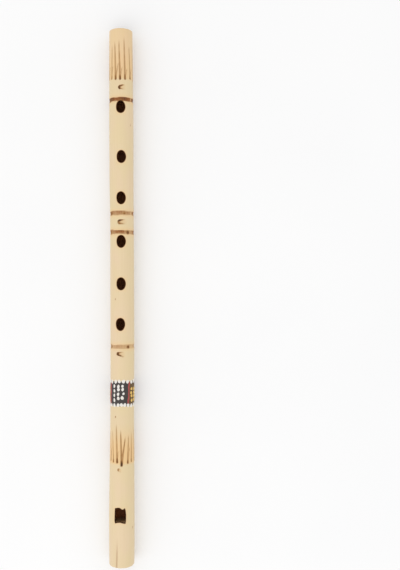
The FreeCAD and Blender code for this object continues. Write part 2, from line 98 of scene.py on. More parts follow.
# where the bore narrows behind the block
SHOULDER = 34.5
# the ramp under the window's far edge: its height at the edge, the stations between which it rises
# and runs out, the distances to the side between which it ends, and the radius they are taken on
RAMP_HEIGHT = 1.35
RAMP_RISE = (43.0, 44.0)
RAMP_FALL = (44.2, 49.0)
RAMP_SIDE = (3.9, 4.4)
RAMP_RADIUS = 7.5

# the block: how much smaller than its seat its radius is, half the windway's width, its height,
# and the profile as station and share of the radius
BLOCK_PLAY = 0.02
WINDWAY_HALF = 4.0
WINDWAY_HEIGHT = 1.2
BLOCK_PROFILE = [(1.5, 0.45), (1.5, 0.8), (1.53, 0.93), (1.65, 0.98), (1.95, 1.0), (6.0, 1.0), (14.0, 1.0),
                 (24.0, 1.0), (33.2, 1.0), (33.5, 0.985), (33.65, 0.94), (33.7, 0.8), (33.7, 0.4)]

# burnt rings: station, depth of colour
RINGS = [(347.2, 0.65), (263.0, 0.43), (248.9, 0.49), (164.0, 0.28)]
RING_DEPTH = 0.28
RING_HALF = 1.54
# spots on the rings: station, turn, radius across and along, strength (below zero is paler)
RING_SPOTS = [(262.9, 16.5, 2.5, 1.5, 0.54), (263.2, 57.0, 0.7, 2.4, -0.6), (263.1, 72.0, 1.2, 1.6, 0.62),
              (262.8, -55.0, 2.2, 1.9, 0.6), (248.9, 56.0, 2.8, 2.6, -0.3), (248.7, 35.0, 1.8, 1.75, 0.8),
              (248.6, -57.0, 2.0, 1.9, 0.5), (163.9, 56.0, 2.8, 2.6, -0.35), (163.8, 34.0, 1.55, 1.55, 0.76),
              (164.0, -58.0, 1.6, 1.9, 0.52), (347.9, 60.0, 0.6, 2.4, -0.6), (347.6, 75.0, 1.2, 1.6, 0.6),
              (347.0, -57.0, 2.4, 1.9, 0.68), (345.9, 3.5, 1.9, 1.5, 0.6)]

# gouge marks: station, turn of the deep end, length, width, lean, how much wider the far side is
# than the deep end, and how burnt the deep end and its two edges are (towards the far end first)
SCOOPS = [(356.0, -8.5, 6.2, 4.0, 0.03, 0.15, 0.95, 0.85, 0.5),
          (256.4, -16.5, 7.6, 3.7, 0.03, 0.0, 0.42, 0.95, 0.55),
          (158.9, -24.0, 7.4, 4.6, -0.1, 0.42, 0.84, 0.56, 0.92),
          (73.1, -16.0, 3.6, 2.8, -0.15, 0.2, 0.5, 0.5, 0.26)]
# the share of a gouge mark's length that its round end takes up
SCOOP_END = 0.2

# knife strokes by the far end and above the grip: turn and station where the stroke ends,
# turn and station where it starts, width and depth at its end, how burnt the end is
FAR_STROKES = [
    (-48.0, 362.9, -42.0, 390.0, 2.0, 0.8, 0.5), (-48.0, 362.9, -36.5, 373.0, 1.6, 0.55, 0.36),
    (-22.2, 362.3, -26.0, 392.0, 2.2, 0.9, 0.68), (-22.2, 362.3, -6.5, 375.0, 1.8, 0.6, 0.5),
    (0.9, 362.2, -5.0, 393.0, 2.2, 0.9, 0.72), (0.9, 362.2, 12.0, 372.0, 1.7, 0.55, 0.4),
    (25.8, 362.4, 20.6, 395.0, 2.1, 0.9, 0.66), (25.8, 362.4, 36.5, 371.0, 1.6, 0.5, 0.35),
    (56.5, 363.2, 47.3, 389.0, 1.9, 0.8, 0.6), (56.5, 363.2, 66.0, 372.0, 1.5, 0.5, 0.3),
]
NEAR_STROKES = [
    (-59.5, 79.4, -64.0, 103.0, 1.8, 0.7, 0.5), (-59.5, 79.4, -50.0, 90.0, 1.4, 0.45, 0.3),
    (-39.4, 78.6, -47.6, 104.0, 1.7, 0.75, 0.56),
    (-18.5, 78.6, -24.5, 108.5, 2.3, 0.9, 0.72), (-18.5, 78.6, -9.5, 88.0, 1.3, 0.4, 0.3),
    (3.3, 76.3, -2.0, 104.0, 2.3, 1.0, 1.0), (3.3, 76.3, 22.0, 99.0, 2.3, 0.95, 0.95),
    (33.6, 77.9, 37.0, 100.0, 2.0, 0.8, 0.62), (33.6, 77.9, 44.0, 91.0, 1.5, 0.5, 0.35),
    (55.3, 78.7, 54.6, 102.5, 1.8, 0.75, 0.5),
]
# like strokes on the sides away from the finger holes: turns, where they end and start, seed
FAR_SPARE = ([85.0, 110.0, 135.0, 160.0, 184.0, 210.0, 235.0, 260.0, 287.0], 362.6, 391.0, 41)
NEAR_SPARE = ([84.0, 109.0, 136.0, 162.0, 188.0, 214.0, 239.0, 268.0], 78.3, 103.5, 57)
# the toasted wood among the strokes: first and last station, strength, and what is left past them
TOASTED = [(361.0, 392.0, 0.68, 0.4), (76.0, 109.0, 0.9, 0.0)]
# the growth groove by the mouth end: its turn at the rim, how that changes along it, its half width
FURROW = (-18.0, 0.19, 0.75)

# small dark specks in the skin: station, turn, radius across and along, strength
SPECKS = [(199.1, -29.5, 0.35, 0.9, 0.5), (112.0, -29.2, 0.45, 0.95, 0.62), (328.6, 54.5, 0.45, 0.7, 0.35),
          (29.4, 62.0, 0.6, 1.2, 0.3), (228.0, 141.0, 0.4, 0.8, 0.4), (60.0, 205.0, 0.4, 0.9, 0.4),
          (291.0, 249.0, 0.35, 0.8, 0.45)]

# the painted band: first and last station, and its parts as first and last turn
BAND = (120.0, 138.5)
BLACK_PARTS = [(-60, 38), (120, 217)]
RED_PARTS = [(33, 42), (112, 122), (211, 221), (289, 303)]
OCHRE_PARTS = [(38, 116), (217, 293)]
# dots of white paint on the front black part: station, turn, across, along
WHITE_DOTS = [(134.8, -35.7, 1.75, 2.7), (131.3, -35.4, 1.75, 2.5), (128.0, -35.8, 1.7, 2.5),
              (124.4, -35.4, 1.8, 2.9), (134.6, -13.6, 2.0, 2.7), (132.3, -13.2, 2.1, 2.6),
              (128.9, -14.8, 1.9, 2.6), (125.9, -14.0, 1.95, 2.9), (134.9, 6.1, 1.75, 2.3),
              (132.4, 6.9, 1.9, 2.5), (129.3, 11.2, 1.7, 1.9), (126.2, 4.9, 2.4, 2.7)]
# dots along the band's two edges on the front: station, turn
EDGE_DOTS = [(137.9, -50.4), (138.2, -27.5), (138.4, -9.4), (138.3, 10.8), (138.1, 31.0), (137.7, 53.5),
             (120.6, -34.8), (120.8, -14.9), (121.0, 1.5), (120.9, 17.3), (120.6, 34.4), (120.2, 53.6)]
EDGE_SPARE_TURNS = {138.1: [72, 92, 111, 132, 152, 171, 192, 211, 232, 251, 271, 291],
                    120.6: [73, 93, 114, 132, 151, 172, 193, 212, 231, 252, 270, 286, 306]}
# width and length of the dots along the edges
EDGE_DOT = (2.4, 2.8)
# columns of yellow dots as shares of an ochre part's turns, and the stations of their rows
YELLOW_COLUMNS = (0.22, 0.5, 0.78)
YELLOW_ROWS = (132.5, 129.6, 127.2, 124.1)
# rings of points in a dot as shares of its radius, points in a ring, how far it sinks in, and the
# culm's radius under the band
DOT_RINGS = (0.3, 0.6, 0.82, 0.95, 1.0, 1.0)
DOT_SIDES = 16
DOT_SINK = 0.03
BAND_RADIUS = 8.93
# rows of faces along a coat of paint, and how far its underside goes below the skin
COAT_ROWS = 30
COAT_SINK = 0.02

# spacing of the rows of points on plain skin, and stretches where it is finer: first and last
# station, spacing
PLAIN_SPACING = 2.2
FINER = [(0, 24, 0.9), (29, 49, 0.7), (74, 88, 0.4), (88, 107, 0.75), (BAND[0] - 2, BAND[1] + 2, 1.0),
         (360, 374, 0.4), (374, 394, 0.75)]
# values at the points of the tube that its material reads
LAYERS = ("char", "knife", "warm", "fresh", "grain", "bore")

# the stage, in metres: the lamp, the world's strength, and the camera above the tube's axis
LAMP_AT = (-0.85, -0.95, 1.2)
LAMP_SIZE = 1.6
LAMP_POWER = 4.5
WORLD_STRENGTH = 0.925
CAMERA_AT = (0.0586, 0.0097, 0.583 + AXIS_HEIGHT / 1000)
CAMERA_LENS = 49.07


def linear(red, green, blue):
    """The linear colour of a colour given as it looks on a screen, 0 to 255."""
    values = np.array([red, green, blue]) / 255.0
    low = values / 12.92
    high = ((values + 0.055) / 1.055) ** 2.4
    return (*[float(v) for v in np.where(values <= 0.04045, low, high)], 1.0)


def smooth_curve(knots, at):
    """A value along a row of knots: cubic pieces whose slope at a knot is that of its neighbours."""
    x, y = np.array(knots, float).T
    slope = np.gradient(y, x)
    piece = np.clip(np.searchsorted(x, at) - 1, 0, len(x) - 2)
    width = x[piece + 1] - x[piece]
    t = np.clip((at - x[piece]) / width, 0, 1)
    return ((2 * t**3 - 3 * t**2 + 1) * y[piece] + (t**3 - 2 * t**2 + t) * width * slope[piece]
            + (3 * t**2 - 2 * t**3) * y[piece + 1] + (t**3 - t**2) * width * slope[piece + 1])


def step(low, high, value):
    """A smooth step: 0 below low, 1 above high."""
    t = np.clip((value - low) / (high - low), 0, 1)
    return t * t * (3 - 2 * t)


def across(turn, middle):
    """The shortest angle from one turn to another, in radians."""
    return np.radians((turn - middle + 180.0) % 360.0 - 180.0)


def outer_radius(turn, station):
    """The culm's radius before any carving, a little out of round as bamboo is."""
    two, three = OUT_OF_ROUND
    wobble = (two * np.cos(2 * np.radians(turn) + station / 90.0)
              + three * np.cos(3 * np.radians(turn) - station / 55.0))
    return smooth_curve(OUTLINE, station) - (two + three) + wobble


class Marks:
    """Everything that the knife and the hot iron did, and the painted shade along the knife strokes, worked
    out for many points at once.
    depth is how far the skin is cut in, char how burnt it is, knife how much that burn is a knife
    mark's olive brown and not a ring's red brown, warm how toasted the wood round it is, and fresh
    where the skin is cut away."""

    def __init__(self, turn, station):
        self.turn = turn
        self.station = station
        self.radius = outer_radius(turn, station)
        for name in ("depth", "char", "knife", "warm", "fresh"):
            setattr(self, name, np.zeros_like(turn))
        self.furrow(*FURROW)
        for row in FAR_STROKES + self.spare_strokes(*FAR_SPARE):
            self.stroke(*row)
        for row in NEAR_STROKES + self.spare_strokes(*NEAR_SPARE):
            self.stroke(*row)
        for row in TOASTED:
            self.warm_zone(*row)
        for index, row in enumerate(RINGS):
            self.ring(index, *row)
        for row in SCOOPS:
            self.scoop(*row)
        for row in RING_SPOTS + SPECKS:
            self.spot(*row)
        for name in ("char", "warm", "fresh"):
            setattr(self, name, np.clip(getattr(self, name), 0, 1))

    def raise_to(self, **values):
        """Keeps the greater of what is there and what is given, at each point."""
        for name, value in values.items():
            setattr(self, name, np.maximum(getattr(self, name), value))

    @staticmethod
    def spare_strokes(turns, end, start, seed):
        """Strokes for the sides away from the finger holes, each a long one with a short arm."""
        rng = np.random.default_rng(seed)
        rows = []
        for turn in turns:
            lean, reach = rng.normal(-5.0, 2.0), rng.uniform(9, 15)
            far, near = rng.normal(0, 1.4), rng.normal(0, 0.4)
            burn = rng.uniform(0.5, 0.78)
            rows.append((turn, end + near, turn + lean, start + far, 2.1, 0.85, burn))
            rows.append((turn, end + near, turn + reach, end + 10.5 + far, 1.6, 0.5, 0.5 * burn))
        return rows

    def stroke(self, end_turn, end, start_turn, start, width, depth, burn):
        """A V-shaped cut along a straight line of the unrolled skin. From its start it widens with the
        0.8th power of the way along and deepens with its 1.4th power, and its end is round."""
        side = self.radius * across(self.turn, end_turn)
        along = self.station - end
        run_side = self.radius * across(start_turn, end_turn)
        run = start - end
        way = np.clip((side * run_side + along * run) / (run_side**2 + run**2), 0, 1)
        off = np.hypot(side - way * run_side, along - way * run)
        t = 1 - way
        half = 0.5 * width * (0.32 + 0.68 * t**0.8)
        profile = np.clip(1 - off / half, 0, 1)
        inside = step(0.02, 0.6, profile)
        heat = (0.45 * step(0.5, 0.92, t) + 0.55 * step(0.84, 0.98, t)) * burn
        # line: a darker line along the stroke, partly scorch and partly painted shade of the groove's wall
        line = 0.46 * burn**0.5 * step(0.02, 0.22, t) * step(0, 0.65, profile)
        self.raise_to(depth=depth * (0.04 + 0.96 * t**1.4) * profile * step(0, 0.08, t),
                      char=np.maximum(heat * inside, line), knife=step(0, 0.3, profile),
                      fresh=inside * step(0.02, 0.3, t))

    def warm_zone(self, near, far, amount, rest):
        """The toasted wood among the strokes, strongest near their deep ends, and what is left past them."""
        along = amount + (rest - amount) * step(near + 10, far, self.station)
        self.raise_to(warm=along * step(near, near + 2.5, self.station))

    def ring(self, index, at, burn):
        """A round-bottomed groove all round the tube: its depth falls with the square of the way to
        its edges. Its edges and its burn wander a little in slow waves."""
        angle = np.radians(self.turn)
        wave = 0.08 * np.sin(angle * 2 + index * 1.7) + 0.07 * np.sin(angle * 7 + index)
        half = RING_HALF + 0.1 * np.sin(angle * 3 + 2.2 * index)
        off = (self.station - at - wave) / half
        profile = np.clip(1 - off**2, 0, 1)
        edge = step(0, 0.35, profile)
        shade = burn * (0.95 + 0.16 * np.clip(off, -1, 1)) * (1 + 0.12 * np.sin(angle * 5 + index))
        halo = 0.6 * np.exp(-(np.abs(self.station - at) / 3.0) ** 3)
        self.raise_to(depth=RING_DEPTH * profile, char=edge * shade, fresh=edge, warm=halo)

    def scoop(self, at, turn, length, width, lean, flare, deep, upper, lower):
        """A gouge mark across the tube: its first end is round, steep and dark. From there two dark
        edges part, and the pale floor between them runs out towards +X."""
        side = self.radius * across(self.turn, turn)
        t = np.clip(side / length, 0, 1)
        rest = 1 - t
        round_end = np.clip(1 - (1 - t / SCOOP_END) ** 2, 0, 1) * (t < SCOOP_END)
        half = 0.5 * width * (1 - flare * rest) * np.sqrt(round_end + (t >= SCOOP_END)) + 1e-6
        lift = (self.station - at - lean * side) / half
        profile = np.clip(1 - lift**2, 0, 1)
        inside = step(0, 0.35, profile)
        apex = 0.5 * np.clip((t - SCOOP_END) / 0.4, 0, 1)
        fade = 1 - step(0.4, 0.9, t)
        far_edge = upper * step(apex - 0.05, apex + 0.45, lift) * fade
        near_edge = lower * step(apex - 0.05, apex + 0.45, -lift) * fade
        shade = np.maximum(deep * (1 - step(0.16, 0.36, t)), np.maximum(far_edge, near_edge))
        self.raise_to(depth=0.24 * width * profile * rest**0.8, char=inside * np.maximum(shade, 0.16 * rest),
                      knife=inside, warm=0.7 * inside * rest, fresh=inside * rest)

    def spot(self, at, turn, wide, tall, strength):
        """A soft oval mark. A negative strength makes what is there paler."""
        off = np.hypot(self.radius * across(self.turn, turn) / wide, (self.station - at) / tall)
        mark = 1 - step(0.35, 1.15, off)
        if strength < 0:
            self.char = self.char * (1 + strength * mark * 1.3)
        else:
            self.raise_to(char=strength * mark, knife=mark)

    def furrow(self, rim_turn, lean, half):
        """The growth groove by the mouth end: a bell curve across, deepest at the rim and gone after
        25 mm."""
        off = self.radius * across(self.turn, rim_turn + lean * self.station) / half
        fade = 1 - step(6, 25, self.station)
        self.raise_to(depth=0.42 * fade * np.exp(-(off**2)),
                      char=0.28 * fade * np.exp(-((off + 0.3) / 0.7) ** 2))


def hole_char(turn, station):
    """How burnt the skin is close to the finger holes: a thin scorched rim."""
    char = np.zeros_like(turn)
    for at, middle in HOLES:
        side = np.sin(across(turn, middle)) * HOLES_RADIUS / HOLE_RIM[0]
        off = np.hypot(side, (station - at) / HOLE_RIM[1])
        char = np.maximum(char, 0.6 * (1 - step(0.99, 1.04, off)))
    return char


def mesh_object(name, points, faces, attributes=None):
    """A smooth-shaded mesh at the origin from points in millimetres, three- or four-sided faces
    and named values at its points. Points that no face uses are left out."""
    mesh = bpy.data.meshes.new(name)
    mesh.from_pydata((np.asarray(points, float) / 1000.0).tolist(), [], faces)
    mesh.polygons.foreach_set("use_smooth", np.ones(len(mesh.polygons), bool))
    for key, values in (attributes or {}).items():
        layer = mesh.attributes.new(key, "FLOAT", "POINT")
        layer.data.foreach_set("value", np.asarray(values, np.float32))
    shape = bmesh.new()
    shape.from_mesh(mesh)
    bmesh.ops.delete(shape, geom=[point for point in shape.verts if not point.link_faces], context="VERTS")
    shape.to_mesh(mesh)
    shape.free()
    mesh.validate()
    mesh.update()
    piece = bpy.data.objects.new(name, mesh)
    bpy.context.scene.collection.objects.link(piece)
    return piece


def on_tube(turn, radius, station):
    """Points in millimetres from turn, radius and station arrays: x is the radius times the sine of
    the turn plus the bow, z the axis height plus the radius times its cosine."""
    angle = np.radians(turn)
    x = radius * np.sin(angle) + smooth_curve(BOW, station)
    y = station - LENGTH / 2
    z = AXIS_HEIGHT + radius * np.cos(angle)
    return np.stack([x, y, z], axis=-1)


def flat_height(station):
    """How high above the surface the narrow flat under the tube is."""
    return FLAT_SLOPE * np.clip(station - FLAT_START, 0, None)


def closed_faces(rows):
    """Quads between neighbouring rows of vertex numbers that close on themselves sideways."""
    after = np.roll(rows, -1, axis=1)
    return np.stack([rows[:-1], after[:-1], after[1:], rows[1:]], axis=-1)


def open_faces(grid):
    """Quads of a grid of vertex numbers that is open on all four sides."""
    corners = [grid[:-1, :-1], grid[:-1, 1:], grid[1:, 1:], grid[1:, :-1]]
    return np.stack(corners, axis=-1).reshape(-1, 4)


def row_stations():
    """Stations of the outer rows: close together where there is carving, further apart on plain
    skin. The spacing is added up and read off at equal steps."""
    pace = 0.1
    at = np.arange(0.0, LENGTH + pace / 2, pace)
    spacing = np.full_like(at, PLAIN_SPACING)
    finer = list(FINER)
    finer += [(station - 7, station + 7, 0.85) for station, _ in HOLES]
    finer += [(station - 2.4, station + 2.4, 0.33) for station, _ in RINGS]
    finer += [(station - row[1] / 2 - 0.9, station + row[1] / 2 + 0.9, 0.38) for station, _, *row in SCOOPS]
    finer += [(station - tall - 0.3, station + tall + 0.3, 0.4) for station, _, _, tall, _ in SPECKS]
    for low, high, size in finer:
        inside = (at >= low) & (at <= high)
        spacing[inside] = np.minimum(spacing[inside], size)
    soft = np.convolve(np.pad(spacing, 12, mode="edge"), np.ones(25) / 25, mode="valid")
    count = np.concatenate([[0], np.cumsum(pace / soft[:-1])])
    return np.interp(np.linspace(0, count[-1], int(round(count[-1])) + 1), count, at)


def length(name, description, default, precision=4):
    """A size in metres that a user would change."""
    return bpy.props.FloatProperty(name=name, description=description, default=default, unit="LENGTH",
                                   precision=precision)


def tint(name, description, red, green, blue):
    """A colour that a user would change, given as it looks on a screen."""
    return bpy.props.FloatVectorProperty(name=name, description=description, subtype="COLOR", size=4,
                                         default=linear(red, green, blue), min=0.0, max=1.0)


class FluteSizes(bpy.types.PropertyGroup):
    bore: length("Bore", "Diameter of the bore", 0.0138)
    block_seat: length("Block seat", "Diameter of the bore round the block", 0.0142)
    hole_width: length("Hole width", "Width of a finger hole across the tube", 0.00655)
    hole_length: length("Hole length", "Length of a finger hole along the tube", 0.0092)
    mouth_round: length("Mouth rounding", "Radius of the rounded rim at the mouth end", 0.0017)
    far_round: length("Far rounding", "Radius of the eased rim at the far end", 0.0011)
    coat: length("Paint thickness", "Thickness of the coats of paint", 0.00014, precision=5)
    dot_rise: length("Dot height", "How far the dots of paint stand up from the coat", 0.0002, precision=5)
    columns: bpy.props.IntProperty(
        name="Columns", description="Columns of faces round the tube", default=144, min=72, max=180)


class FluteColours(bpy.types.PropertyGroup):
    skin: tint("Skin", "Pale skin of the bamboo", 232, 210, 171)
    skin_dark: tint("Darker skin", "Darker fibres of the bamboo", 219, 193, 150)
    toasted: tint("Toasted wood", "Warm wood round the burnt carving", 240, 196, 134)
    scorched: tint("Scorched wood", "Brown of the burnt rings", 150, 88, 34)
    charred: tint("Charred wood", "Near black of the deepest burns", 52, 28, 14)
    black: tint("Black paint", "Ground of the painted band", 50, 46, 44)
    red: tint("Red paint", "Lines beside the black parts", 188, 78, 70)
    ochre: tint("Ochre paint", "Ground of the yellow-dotted parts", 112, 84, 38)
    white: tint("White paint", "White dots", 238, 234, 228)
    yellow: tint("Yellow paint", "Yellow dots", 252, 212, 114)


def mm(value):
    """A size from the settings, which are in metres, in millimetres."""
    return value * 1000.0


# materials


class Nodes:
    """Short ways to add nodes to the tree of a material or a group."""

    def __init__(self, tree):
        self.nodes, self.links = tree.nodes, tree.links

    def node(self, kind, **settings):
        node = self.nodes.new(kind)
        for key, value in settings.items():
            setattr(node, key, value)
        return node

    def feed(self, source, target):
        """Links an output to an input, or sets the input to a plain value."""
        if hasattr(source, "is_output"):
            self.links.new(source, target)
        else:
            target.default_value = source

    def noise_at(self, place, scale, detail, roughness=0.5):
        """Noise at coordinates that may be stretched."""
        node = self.node("ShaderNodeTexNoise")
        self.links.new(place, node.inputs["Vector"])
        for key, value in (("Scale", scale), ("Detail", detail), ("Roughness", roughness)):
            node.inputs[key].default_value = value
        return node.outputs["Fac"]

    def times(self, place, factors):
        """Coordinates multiplied by three factors, which stretch what is worked out from them."""
        node = self.node("ShaderNodeVectorMath", operation="MULTIPLY")
        self.feed(place, node.inputs[0])
        self.feed(factors, node.inputs[1])
        return node.outputs["Vector"]


def fibre_group():
    """Fibres along Y: fine and coarse noise, both drawn out many times along the tube."""
    name = "flute fibres"
    if name in bpy.data.node_groups:
        return bpy.data.node_groups[name]
    tree = bpy.data.node_groups.new(name, "ShaderNodeTree")
    for key, default in (("Across", 900.0), ("Along", 18.0)):
        socket = tree.interface.new_socket(key, in_out="INPUT", socket_type="NodeSocketFloat")
        socket.default_value = default
    for key in ("Fibre", "Cloud"):
        tree.interface.new_socket(key, in_out="OUTPUT", socket_type="NodeSocketFloat")
    group = Nodes(tree)
    put_in, put_out = group.node("NodeGroupInput"), group.node("NodeGroupOutput")
    place = group.node("ShaderNodeTexCoord").outputs["Object"]
    factors = group.node("ShaderNodeCombineXYZ")
    for axis, key in (("X", "Across"), ("Y", "Along"), ("Z", "Across")):
        group.feed(put_in.outputs[key], factors.inputs[axis])
    fine = group.noise_at(group.times(place, factors.outputs["Vector"]), 1.0, 5.0, 0.65)
    cloud = group.noise_at(group.times(place, (120.0, 26.0, 120.0)), 1.0, 3.0)
    group.feed(fine, put_out.inputs["Fibre"])
    group.feed(cloud, put_out.inputs["Cloud"])
    return tree


class Recipe(Nodes):
    """A material and short ways to add nodes to it."""

    def __init__(self, name):
        self.material = bpy.data.materials.new(name)
        self.material.use_nodes = True
        super().__init__(self.material.node_tree)
        self.surface = self.nodes["Principled BSDF"]

    def mix(self, factor, first, second):
        node = self.node("ShaderNodeMix", data_type="RGBA")
        for index, source in ((0, factor), (6, first), (7, second)):
            self.feed(source, node.inputs[index])
        return node.outputs[2]

    def math(self, operation, first, second, clamp=False):
        node = self.node("ShaderNodeMath", operation=operation, use_clamp=clamp)
        self.feed(first, node.inputs[0])
        self.feed(second, node.inputs[1])
        return node.outputs[0]

    def ramp(self, source, low, high, to_low=0.0, to_high=1.0):
        """A straight rise from one value to another between two values of its source."""
        node = self.node("ShaderNodeMapRange")
        self.feed(source, node.inputs["Value"])
        for key, value in (("From Min", low), ("From Max", high), ("To Min", to_low), ("To Max", to_high)):
            node.inputs[key].default_value = value
        return node.outputs["Result"]

    def value(self, name):
        """A value that the mesh holds at its points."""
        return self.node("ShaderNodeAttribute", attribute_name=name).outputs["Fac"]

    def mapped(self, setting, value):
        """The piece's own coordinates, moved or stretched."""
        mapping = self.node("ShaderNodeMapping")
        mapping.inputs[setting].default_value = value
        self.links.new(self.node("ShaderNodeTexCoord").outputs["Object"], mapping.inputs["Vector"])
        return mapping.outputs["Vector"]

    def noise(self, scale, detail=2.0, stretch=(1.0, 1.0, 1.0)):
        return self.noise_at(self.mapped("Scale", stretch), scale, detail)

    def fibres(self, across, along):
        node = self.node("ShaderNodeGroup", node_tree=fibre_group())
        node.inputs["Across"].default_value = across
        node.inputs["Along"].default_value = along
        return node.outputs["Fibre"], node.outputs["Cloud"]

    def bump(self, height, strength, distance):
        node = self.node("ShaderNodeBump")
        node.inputs["Strength"].default_value = strength
        node.inputs["Distance"].default_value = distance
        self.feed(height, node.inputs["Height"])
        self.links.new(node.outputs["Normal"], self.surface.inputs["Normal"])

    def finish(self, base, roughness):
        """Feeds the colour and the roughness, and returns the material."""
        self.feed(base, self.surface.inputs["Base Color"])
        self.feed(roughness, self.surface.inputs["Roughness"])
        return self.material


def bamboo_material(colours):
    """Pale satin skin with fibres, toasted and charred carving, and open grain on the cut ends."""
    pinkish, straw = linear(236, 206, 176), linear(228, 210, 158)
    end_grain, end_pores, inside = linear(226, 200, 150), linear(150, 112, 66), linear(140, 78, 46)
    knife_brown, knife_black = linear(160, 110, 54), linear(66, 40, 16)
    recipe = Recipe("bamboo skin")
    fibre, cloud = recipe.fibres(1500.0, 22.0)
    streak = recipe.ramp(fibre, 0.3, 0.72)
    patch = recipe.ramp(cloud, 0.3, 0.7)
    blush = recipe.ramp(recipe.noise(60.0, 2.0, (1.0, 0.5, 1.0)), 0.38, 0.62)
    base = recipe.mix(recipe.math("MULTIPLY", streak, 0.42), colours.skin, colours.skin_dark)
    base = recipe.mix(recipe.math("MULTIPLY", patch, 0.42), base, pinkish)
    base = recipe.mix(recipe.math("MULTIPLY", blush, 0.4), base, straw)
    char, knife, warm = recipe.value("char"), recipe.value("knife"), recipe.value("warm")
    fresh, bore, grain = recipe.value("fresh"), recipe.value("bore"), recipe.value("grain")
    mottled = recipe.math("MULTIPLY", warm, recipe.ramp(fibre, 0.2, 0.75, 0.55, 1.0))
    base = recipe.mix(mottled, base, colours.toasted)
    pores = recipe.ramp(recipe.noise(3200.0, 1.0, (1.0, 0.02, 1.0)), 0.52, 0.62)
    ends = recipe.mix(recipe.math("MULTIPLY", pores, 0.55), end_grain, end_pores)
    base = recipe.mix(grain, base, ends)
    base = recipe.mix(bore, base, inside)
    uneven = recipe.ramp(recipe.noise(900.0, 3.0, (1.0, 0.25, 1.0)), 0.25, 0.75, 0.78, 1.22)
    burn = recipe.math("MULTIPLY", char, uneven, clamp=True)
    brown = recipe.mix(knife, colours.scorched, knife_brown)
    near_black = recipe.mix(knife, colours.charred, knife_black)
    base = recipe.mix(recipe.ramp(burn, 0.0, 0.55), base, brown)
    base = recipe.mix(recipe.ramp(burn, 0.5, 1.0), base, near_black)
    worn = recipe.math("MAXIMUM", recipe.math("MULTIPLY", fresh, 0.8), recipe.math("MAXIMUM", grain, bore))
    rough = recipe.math("ADD", recipe.ramp(fibre, 0.3, 0.7, 0.4, 0.48), recipe.math("MULTIPLY", worn, 0.28))
    recipe.bump(fibre, 0.22, 0.00025)
    recipe.surface.inputs["Specular IOR Level"].default_value = 0.42
    return recipe.finish(base, rough)


def block_material():
    """Close-grained softer wood, with its grain along the tube and growth lines on the end, and painted shade
    on its end under the window.
    """
    pale, line, fibre_brown = linear(205, 166, 116), linear(164, 118, 72), linear(140, 98, 58)
    cloud_brown, painted_shade_brown = linear(186, 140, 92), linear(60, 36, 20)
    recipe = Recipe("block wood")
    fibre, cloud = recipe.fibres(1100.0, 60.0)
    rings = recipe.node("ShaderNodeTexWave", wave_type="RINGS", rings_direction="Y")
    recipe.links.new(recipe.mapped("Location", (0.006, 0.0, 0.004)), rings.inputs["Vector"])
    for key, value in (("Scale", 330.0), ("Distortion", 1.6), ("Detail", 2.0)):
        rings.inputs[key].default_value = value
    base = recipe.mix(recipe.ramp(rings.outputs["Fac"], 0.2, 0.9, 0.0, 0.6), pale, line)
    base = recipe.mix(recipe.ramp(fibre, 0.35, 0.7, 0.0, 0.35), base, fibre_brown)
    base = recipe.mix(recipe.ramp(cloud, 0.4, 0.7, 0.0, 0.3), base, cloud_brown)
    # painted shade: the block's end under the window is darkened towards this brown
    base = recipe.mix(recipe.value("char"), base, painted_shade_brown)
    recipe.bump(fibre, 0.3, 0.0002)
    return recipe.finish(base, recipe.ramp(fibre, 0.3, 0.7, 0.55, 0.7))


def paint_material(name, main, worn, patches, gloss):
    """Hand-brushed paint: uneven cover with the colour under it near thin places, and soft strokes."""
    recipe = Recipe(name)
    stroke = recipe.noise(700.0, 3.0, (1.0, 0.35, 1.0))
    thin = recipe.noise(380.0, 4.0)
    base = recipe.mix(recipe.ramp(stroke, 0.35, 0.7, 0.0, patches), main, worn)
    base = recipe.mix(recipe.ramp(thin, 0.6, 0.75, 0.0, 0.35), base, worn)
    recipe.bump(stroke, 0.35, 0.00012)
    return recipe.finish(base, recipe.ramp(thin, 0.3, 0.7, gloss, gloss + 0.2))


def floor_material():
    """A pale board that glows faintly where the camera or a reflection sees it."""
    light_grey, grey, lit_grey = (0.79, 0.79, 0.79, 1.0), (0.775, 0.775, 0.777, 1.0), (0.82, 0.82, 0.82, 1.0)
    glow = 0.19
    recipe = Recipe("pale floor")
    rays = recipe.node("ShaderNodeLightPath").outputs
    mirrored = recipe.math("MAXIMUM", rays["Is Glossy Ray"], rays["Is Transmission Ray"])
    seen = recipe.math("MAXIMUM", rays["Is Camera Ray"], mirrored)
    board = recipe.ramp(recipe.noise(7.0, 2.0), 0.3, 0.7)
    base = recipe.mix(seen, lit_grey, recipe.mix(board, light_grey, grey))
    recipe.surface.inputs["Emission Color"].default_value = (1.0, 1.0, 1.0, 1.0)
    recipe.feed(recipe.math("MULTIPLY", seen, glow), recipe.surface.inputs["Emission Strength"])
    recipe.surface.inputs["Specular IOR Level"].default_value = 0.0
    return recipe.finish(base, 0.9)


# the tube


def rim_plan(name, at, angle):
    """The rim of an opening about its middle, across and along, at angles round it: an oval that two
    slow waves make uneven, or straight lines between the points of the window's edge."""
    if name == "window":
        ring = np.array(WINDOW_EDGE)
        turns = np.unwrap(np.arctan2(ring[:, 0], ring[:, 1]))
        knots = np.concatenate([turns - 2 * np.pi, turns, turns + 2 * np.pi])
        return tuple(np.interp(angle, knots, np.tile(values, 3)) for values in ring.T)
    sizes = bpy.context.scene.flute_sizes
    bump = 1 + 0.012 * np.sin(3 * angle + at) + 0.008 * np.sin(5 * angle)
    return mm(sizes.hole_width) / 2 * np.sin(angle) * bump, mm(sizes.hole_length) / 2 * np.cos(angle) * bump


